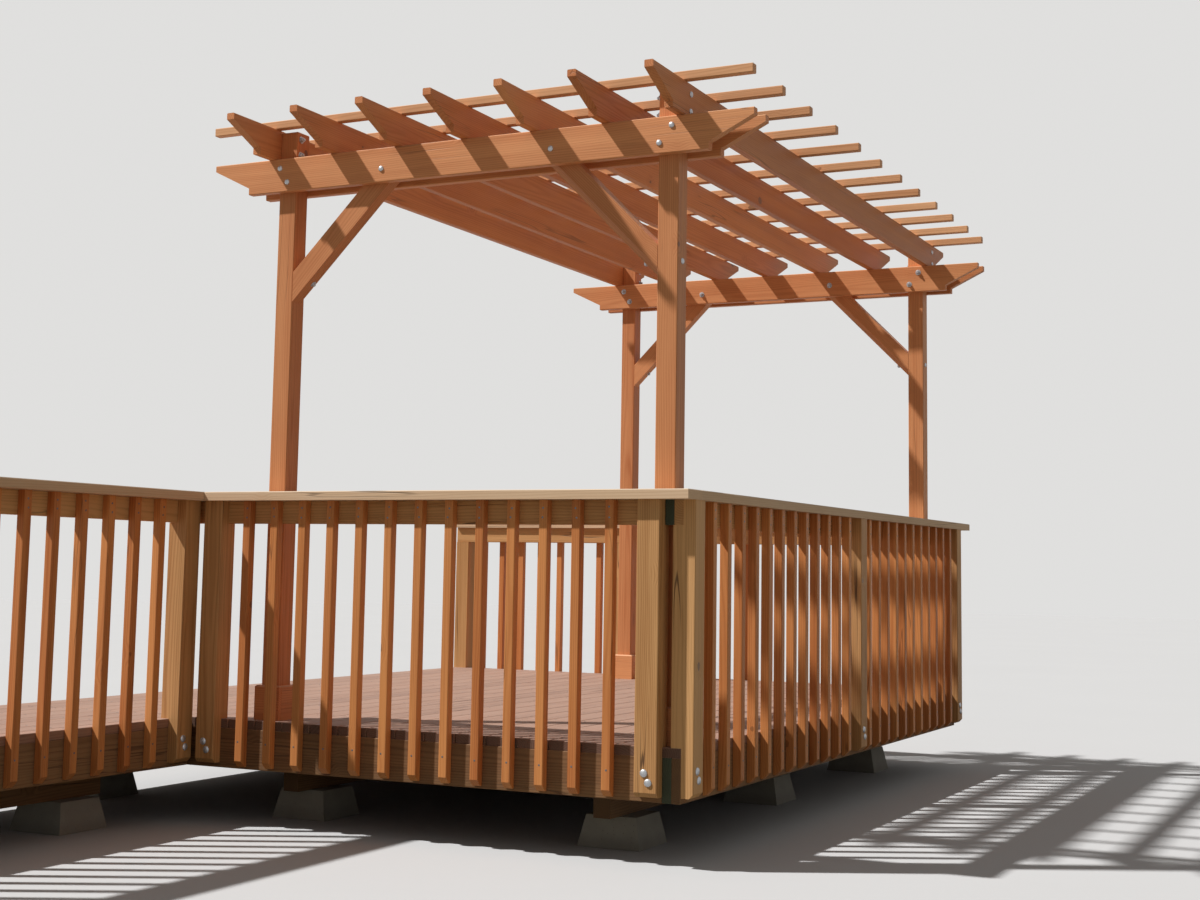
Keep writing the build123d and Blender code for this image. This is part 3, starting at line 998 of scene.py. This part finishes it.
# Fixings. Profiles are (radius, height) points over the timber's face.

# Bolts through the beams: distance in from the left or the right posts' outer face, height over the deck.
LEFT_BEAM_BOLTS = ((0.026, 2.432), (0.067, 2.367), (0.564, 2.383), (1.393, 2.392))
RIGHT_BEAM_BOLTS = ((0.017, 2.437), (0.071, 2.369))
# Bolts through a post and an outer rafter: distance from the post's outer face, height over the deck.
RAFTER_BOLTS = ((0.027, 2.571), (0.025, 2.500))
# Bolts in the braces' heels, left and right: height over the deck.
LEFT_HEEL_BOLT, RIGHT_HEEL_BOLT = 1.912, 1.899
# Bolts in a rail post: distance along from its low edge, depth under the deck's top.
FRONT_RAIL_BOLTS = ((0.042, 0.095), (0.060, 0.130))
SIDE_RAIL_BOLTS = ((0.037, 0.085), (0.052, 0.121))
# How far a rail post stands out from the deck's edge.
POST_LAP = round(DECK_FRONT_Y - span("rail_posts_front", "Y")[0], 5)


def domed_head(work, radius):
    """A domed head on a thin collar, standing on the XY plane."""
    collar, crown, steps = 0.0012, 0.0066, 6
    profile = [(radius, -0.001), (radius, collar)]
    for number in range(1, steps):
        angle = number * math.pi / 2 / steps
        profile.append((radius * math.cos(angle) * 0.97, collar + crown * math.sin(angle)))
    profile.append((radius * 0.08, 0.0079))
    turned_profile(work, profile, 24)


def frame_head(work):
    """A bolt head of the frame."""
    domed_head(work, settings().fixing.head_radius)


def railing_head(work):
    """A larger bolt head, of the rail posts."""
    domed_head(work, settings().fixing.railing_head_radius)


def nut_and_washer(work):
    """A round washer, a chamfered hexagon nut and the bolt's end through it."""
    washer = settings().fixing.washer_radius
    nut = 0.0110
    turned_profile(work, [(washer, -0.0005), (washer, 0.0016), (washer * 0.96, 0.0022)], 24)
    turned_profile(work, [(nut, 0.0018), (nut, 0.0115), (nut * 0.88, 0.0128)], 6)
    turned_profile(work, [(0.0062, 0.0120), (0.0062, 0.0185), (0.0050, 0.0200)], 16)


def bare_nut(work):
    """A nut sunk in its hole, with the bolt's end through it."""
    turned_profile(work, [(0.0135, -0.002), (0.0135, 0.0012), (0.0125, 0.0018)], 20)
    turned_profile(work, [(0.0105, 0.0010), (0.0105, 0.0060), (0.0094, 0.0070)], 6)
    turned_profile(work, [(0.0060, 0.0060), (0.0060, 0.0100), (0.0050, 0.0110)], 14)


def nail_head(work):
    """A flat nail head with a slight crown."""
    radius = settings().fixing.nail_radius
    turned_profile(work, [(radius, -0.0008), (radius, 0.0003), (radius * 0.7, 0.0006)], 10)


def frame_bolt_places():
    """Heads, washered nuts and sunk nuts of the frame, each as (place, facing) pairs."""
    heads, nuts, sunk = [], [], []
    through_beams = [(LEFT_X + inset, above_deck) for inset, above_deck in LEFT_BEAM_BOLTS]
    through_beams += [(RIGHT_X - inset, above_deck) for inset, above_deck in RIGHT_BEAM_BOLTS]
    for x, above_deck in through_beams:
        z = DECK_TOP + above_deck
        heads.append(((x, FRONT_Y - BOARD, z), (0, -1, 0)))
        nuts.append(((x, FRONT_Y + POST + BOARD, z), (0, 1, 0)))
        heads.append(((x, BACK_Y + BOARD, z), (0, 1, 0)))
        nuts.append(((x, BACK_Y - POST - BOARD, z), (0, -1, 0)))
    for outer, inner, side in ((RIGHT_X + BOARD, RIGHT_X - POST, 1), (LEFT_X - BOARD, LEFT_X + POST, -1)):
        for post_y, inward in ((FRONT_Y, 1), (BACK_Y, -1)):
            for inset, above_deck in RAFTER_BOLTS:
                y, z = post_y + inward * inset, DECK_TOP + above_deck
                heads.append(((outer, y, z), (side, 0, 0)))
                nuts.append(((inner, y, z), (-side, 0, 0)))
    # Heels of the braces: a head on the post's outer face and a nut on the brace's underside.
    slope = math.sqrt(0.5)
    for y in (FRONT_Y + POST / 2, BACK_Y - POST / 2):
        for outer, inward, above_deck in ((LEFT_X, 1, LEFT_HEEL_BOLT), (RIGHT_X, -1, RIGHT_HEEL_BOLT)):
            z = DECK_TOP + above_deck
            run = above_deck - BRACE_HEEL
            heads.append(((outer, y, z), (-inward, 0, 0)))
            sunk.append(((outer + inward * (POST + run), y, z), (inward * slope, 0, -slope)))
    return heads, nuts, sunk


def railing_bolt_places():
    """Two heads low on each rail post, as (place, facing) pairs."""
    heads = []
    for y, out, posts in (
        (DECK_FRONT_Y - POST_LAP, -1, FRONT_RAIL_POSTS_X),
        (DECK_BACK_Y + POST_LAP, 1, BACK_RAIL_POSTS_X),
    ):
        for x in posts:
            for along, under in FRONT_RAIL_BOLTS:
                heads.append(((x + along, y, DECK_TOP - under), (0, out, 0)))
    for x, posts in ((DECK_RIGHT_X, SIDE_RAIL_POSTS_Y), (WING_X, WING_RAIL_POSTS_Y)):
        for y in posts:
            for along, under in SIDE_RAIL_BOLTS:
                heads.append(((x + POST_LAP, y + along, DECK_TOP - under), (1, 0, 0)))
    return heads


class Nailer:
    """Collects nail places, each a little off its mark, as (place, facing) pairs."""

    UP = (0, 0, 1)
    END_INSET = 0.022
    SIDE_INSET = 0.028
    UNDER_DECK_TOP = 0.093
    UNDER_CAP = (0.032, 0.070)
    CAP_SPACING = 0.45
    CAP_END_INSET = 0.03
    CAP_LINES = (0.33, 0.62)

    def __init__(self):
        self.chance = random.Random(settings().fixing.seed)
        self.nails = []

    def off(self, most):
        return self.chance.uniform(-most, most)

    def add(self, place, facing=UP):
        self.nails.append((tuple(place), facing))

    def deck_boards(self):
        pitch, width, whole = deck_grid()
        main_lines = [DECK_FRONT_Y + self.END_INSET, *JOISTS_Y, DECK_BACK_Y - self.END_INSET]
        wing_lines = [WING_END_Y + self.END_INSET, *WING_JOISTS_Y, DECK_FRONT_Y - self.END_INSET]
        for count, lines, limit in (
            (settings().deck.board_count, main_lines, DECK_RIGHT_X),
            (whole + 1, wing_lines, WING_X),
        ):
            for number in range(count):
                x = LEDGER_X + number * pitch
                for y in lines:
                    for inset in (self.SIDE_INSET, min(width, limit - x) - self.SIDE_INSET):
                        self.add((x + inset + self.off(0.004), y + self.off(0.006), DECK_TOP))

    def balusters(self):
        heights = (DECK_TOP - self.UNDER_DECK_TOP, *[CAP_UNDERSIDE - under for under in self.UNDER_CAP])
        for _, facing, _, _, rows in railing_runs():
            for start, step, count in rows:
                for number in range(count):
                    for z in heights:
                        place = [start[axis] + BOARD / 2 + step[axis] * number for axis in (0, 1)]
                        place.append(z + self.off(0.004))
                        for axis in (0, 1):
                            place[axis] += facing[axis] * BOARD / 2
                            place[axis] += (1 - abs(facing[axis])) * self.off(0.004)
                        self.add(place, facing)

    def caps(self):
        for cap, axis in (("cap_front", 0), ("cap_back", 0), ("cap_right", 1), ("cap_wing", 1)):
            low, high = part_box(cap)
            size = high - low
            count = max(2, round(size[axis] / self.CAP_SPACING))
            for number in range(count + 1):
                run = size[axis] - 2 * self.CAP_END_INSET
                along = low[axis] + self.CAP_END_INSET + run * number / count
                for part in self.CAP_LINES:
                    place = [0.0, 0.0, high.z]
                    place[axis] = along + self.off(0.008)
                    place[1 - axis] = low[1 - axis] + size[1 - axis] * part
                    self.add(place)

    def purlins(self):
        for y in middles("purlins", "Y", settings().roof.purlin_count):
            for x in RAFTERS_X:
                self.add((x + self.off(0.006), y + self.off(0.005), RAFTER_TOP + BOARD - CLEARANCE))


class PERGOLA_OT_bolts(bpy.types.Operator):
    """Sets the bolt heads, washers and nuts of the frame and the railings"""

    bl_idname = "pergola.bolts"
    bl_label = "Bolts and nuts"

    def execute(self, context):
        choice = settings().fixing
        steel = steel_material("Galvanised steel", tuple(choice.steel), 0.45)
        heads, nuts, sunk = frame_bolt_places()
        sets = (
            ("Bolt heads", heads, frame_head),
            ("Washered nuts", nuts, nut_and_washer),
            ("Sunk nuts", sunk, bare_nut),
            ("Railing bolt heads", railing_bolt_places(), railing_head),
        )
        meshes = [
            fixings_mesh(name, places, make, steel, choice.seed + number)
            for number, (name, places, make) in enumerate(sets)
        ]
        publish("bolts", joined("Bolts", meshes), (), ())
        return {"FINISHED"}


class PERGOLA_OT_nails(bpy.types.Operator):
    """Sets the nail heads of boards, balusters, caps and purlins"""

    bl_idname = "pergola.nails"
    bl_label = "Nails"

    def execute(self, context):
        choice = settings().fixing
        steel = steel_material("Nail steel", tuple(part * 0.35 for part in choice.steel), 0.55)
        nailer = Nailer()
        nailer.deck_boards()
        nailer.balusters()
        nailer.caps()
        nailer.purlins()
        mesh = fixings_mesh("Nails", nailer.nails, nail_head, steel, choice.seed + 5)
        publish("nails", mesh, (), ())
        return {"FINISHED"}


# Finishes of the frame.

TONE_SEED = 100
FIGURE_SEED = 200
CORNERS = ("front_left", "front_right", "back_left", "back_right")
BEAMS = ("front_outer", "front_inner", "back_inner", "back_outer")

# CAD nodes that keep their shape: finish, grain axis, and the cells that tell their solids apart.
DRESSED = {
    **{f"post_{corner}": ("pergola", "Z", None) for corner in CORNERS},
    **{f"beam_{place}": ("pergola", "X", None) for place in BEAMS},
    "brace_front_left": ("pergola", "rising", None),
    "brace_front_right": ("pergola", "falling", None),
    "brace_back_left": ("pergola", "rising", None),
    "brace_back_right": ("pergola", "falling", None),
    "rafter_left": ("pergola", "Y", None),
    "rafter_right": ("pergola", "Y", None),
    "rafters_inner": ("pergola", "Y", ((3.012, 0, 0), (0.893, 0.5, 0.5))),
    "rail_posts_front": ("rail", "Z", ((0.6667, 0, 0), (0.8667, 0.5, 0.5))),
    "rail_posts_back": ("rail", "Z", ((0.6667, 0, 0), (0.8667, 0.5, 0.5))),
    "rail_posts_right": ("rail", "Z", ((0, 0.6667, 0), (0.5, 1.3333, 0.5))),
    "rail_posts_wing": ("rail", "Z", ((0, 0.6667, 0), (0.5, 2.6667, 0.5))),
    "cap_front": ("cap", "X", None),
    "cap_back": ("cap", "X", None),
    "cap_right": ("cap", "Y", None),
    "cap_wing": ("cap", "Y", None),
    "ledger": ("joist", "Y", None),
    "joists": ("joist", "X", ((0, 2.4728, 0), (0.5, 1.95, 0.5))),
    "wing_joists": ("joist", "X", ((0, 2.6846, 0), (0.5, 8.17, 0.5))),
    "girders": ("joist", "Y", ((1.6667, 0, 0), (3.3333, 0.5, 0.5))),
}


class PERGOLA_OT_dress_frame(bpy.types.Operator):
    """Gives every timber and block that keeps its shape a finish with its own grain"""

    bl_idname = "pergola.dress_frame"
    bl_label = "Finish the frame"

    def execute(self, context):
        for number, (name, (finish, axis, cells)) in enumerate(DRESSED.items()):
            tone = None if cells else random.Random(TONE_SEED + number).uniform(0.2, 0.8)
            material = timber_material(f"{name} timber", finish, axis, tone, cells, FIGURE_SEED + number)
            self.paint(name, material)
        self.paint("pier_blocks", concrete_material())
        return {"FINISHED"}

    @staticmethod
    def paint(name, material):
        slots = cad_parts[name].data.materials
        slots.clear()
        slots.append(material)


# Floor, light and camera.

FLOOR_RADIUS = 45.0
FLOOR_Z = -0.001
FLOOR_BOUNCE_COLOUR = (0.21, 0.20, 0.155, 1)
SUN_COLOUR = (1.0, 0.975, 0.93)
SUN_ANGLE = math.radians(1.5)
SUN_WAY = (-0.72, -0.39, 1.0)
SKY_COLOUR = (1.0, 0.95, 0.88, 1)
BACKDROP_COLOUR = (0.745, 0.74, 0.73, 1)
CAMERA_PLACE = (4.1765, -7.0525, DECK_TOP + 0.666)
CAMERA_YAW = math.radians(26.152)
CAMERA_PITCH = math.radians(6.199)
CAMERA_ROLL = math.radians(0.931)
LENS_SHIFT = -0.0536


def lay_floor(choice):
    """A wide studio floor, which looks paler than the light that it sends back."""
    below = Matrix.Translation((0, 0, FLOOR_Z))

    def build(work):
        bmesh.ops.create_circle(work, cap_ends=True, radius=FLOOR_RADIUS, segments=96, matrix=below)

    stage_floor = loose_object("studio_floor", mesh_from(build, "Studio floor"))
    material, kit, surface, source = new_material("Studio floor")
    cloud = kit.noise(source["Object"], 0.6, 3)
    pale = tuple(choice.floor_colour)
    colour = kit.mix(cloud, (*[part * 0.96 for part in pale], 1), (*pale, 1))
    kit.feed(surface["Base Color"], kit.mix(kit.seen_directly(), FLOOR_BOUNCE_COLOUR, colour))
    surface["Roughness"].default_value = 0.9
    surface["Specular IOR Level"].default_value = 0.1
    stage_floor.data.materials.append(material)


def add_daylight(choice):
    """A sun and a soft sky, which the camera sees as a plain backdrop."""
    sun = bpy.data.lights.new("Sun", "SUN")
    sun.energy = choice.sun_strength
    sun.angle = SUN_ANGLE
    sun.color = SUN_COLOUR
    lamp = loose_object("Sun", sun)
    lamp.rotation_euler = Vector(SUN_WAY).to_track_quat("Z", "Y").to_euler()

    world = bpy.data.worlds.new("Studio")
    world.use_nodes = True
    bpy.context.scene.world = world
    kit = Nodes(world.node_tree)
    lit = world.node_tree.nodes["Background"]
    kit.feed(lit.inputs["Color"], SKY_COLOUR)
    kit.feed(lit.inputs["Strength"], choice.sky_strength)
    seen = kit.fed("ShaderNodeBackground", {"Color": BACKDROP_COLOUR})
    both = kit.fed("ShaderNodeMixShader", {0: kit.seen_directly(), 1: lit.outputs[0], 2: seen})
    kit.feed(world.node_tree.nodes["World Output"].inputs[0], both)


def place_camera(choice):
    """A camera where the photograph's stood."""
    level = math.cos(CAMERA_PITCH)
    ahead = Vector((-math.sin(CAMERA_YAW) * level, math.cos(CAMERA_YAW) * level, math.sin(CAMERA_PITCH)))
    right = Vector((math.cos(CAMERA_YAW), math.sin(CAMERA_YAW), 0.0))
    above = right.cross(ahead)
    tilted_right = right * math.cos(CAMERA_ROLL) + above * math.sin(CAMERA_ROLL)
    tilted_up = above * math.cos(CAMERA_ROLL) - right * math.sin(CAMERA_ROLL)
    camera = bpy.data.cameras.new("Camera")
    camera.sensor_fit = "HORIZONTAL"
    camera.sensor_width = 36.0
    camera.lens = choice.lens
    camera.shift_y = LENS_SHIFT
    camera.clip_end = 200.0
    eye = loose_object("Camera", camera)
    turn = Matrix((tilted_right, tilted_up, -ahead)).transposed().to_4x4()
    eye.matrix_world = Matrix.Translation(CAMERA_PLACE) @ turn
    bpy.context.scene.camera = eye


class PERGOLA_OT_stage(bpy.types.Operator):
    """Sets the studio floor, the light and the camera"""

    bl_idname = "pergola.stage"
    bl_label = "Stage"

    def execute(self, context):
        choice = settings().stage
        lay_floor(choice)
        add_daylight(choice)
        place_camera(choice)
        context.scene.view_settings.view_transform = "Standard"
        return {"FINISHED"}


STEPS = ("deck_boards", "railings", "rims", "purlins", "collars", "bolts", "nails", "dress_frame", "stage")


class PERGOLA_PT_panel(bpy.types.Panel):
    """Lists the settings and the steps that build the pergola"""

    bl_label = "Pergola"
    bl_idname = "PERGOLA_PT_panel"
    bl_space_type = "VIEW_3D"
    bl_region_type = "UI"
    bl_category = "Pergola"

    def draw(self, context):
        choice = context.scene.pergola
        for label in ("deck", "railing", "roof", "fixing", "stage"):
            group = getattr(choice, label)
            box = self.layout.box()
            box.label(text=label.capitalize())
            for name in group.__annotations__:
                box.prop(group, name)
        for step in STEPS:
            self.layout.operator("pergola." + step)


CLASSES = (
    DeckSettings,
    RailingSettings,
    RoofSettings,
    FixingSettings,
    StageSettings,
    PergolaSettings,
    PERGOLA_OT_deck_boards,
    PERGOLA_OT_railings,
    PERGOLA_OT_rims,
    PERGOLA_OT_purlins,
    PERGOLA_OT_collars,
    PERGOLA_OT_bolts,
    PERGOLA_OT_nails,
    PERGOLA_OT_dress_frame,
    PERGOLA_OT_stage,
    PERGOLA_PT_panel,
)


def register():
    for cls in CLASSES:
        bpy.utils.register_class(cls)
    bpy.types.Scene.pergola = bpy.props.PointerProperty(type=PergolaSettings)


def unregister():
    del bpy.types.Scene.pergola
    for cls in reversed(CLASSES):
        bpy.utils.unregister_class(cls)


def main():
    register()
    for step in STEPS:
        getattr(bpy.ops.pergola, step)()
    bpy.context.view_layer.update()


if __name__ == "__main__":
    main()
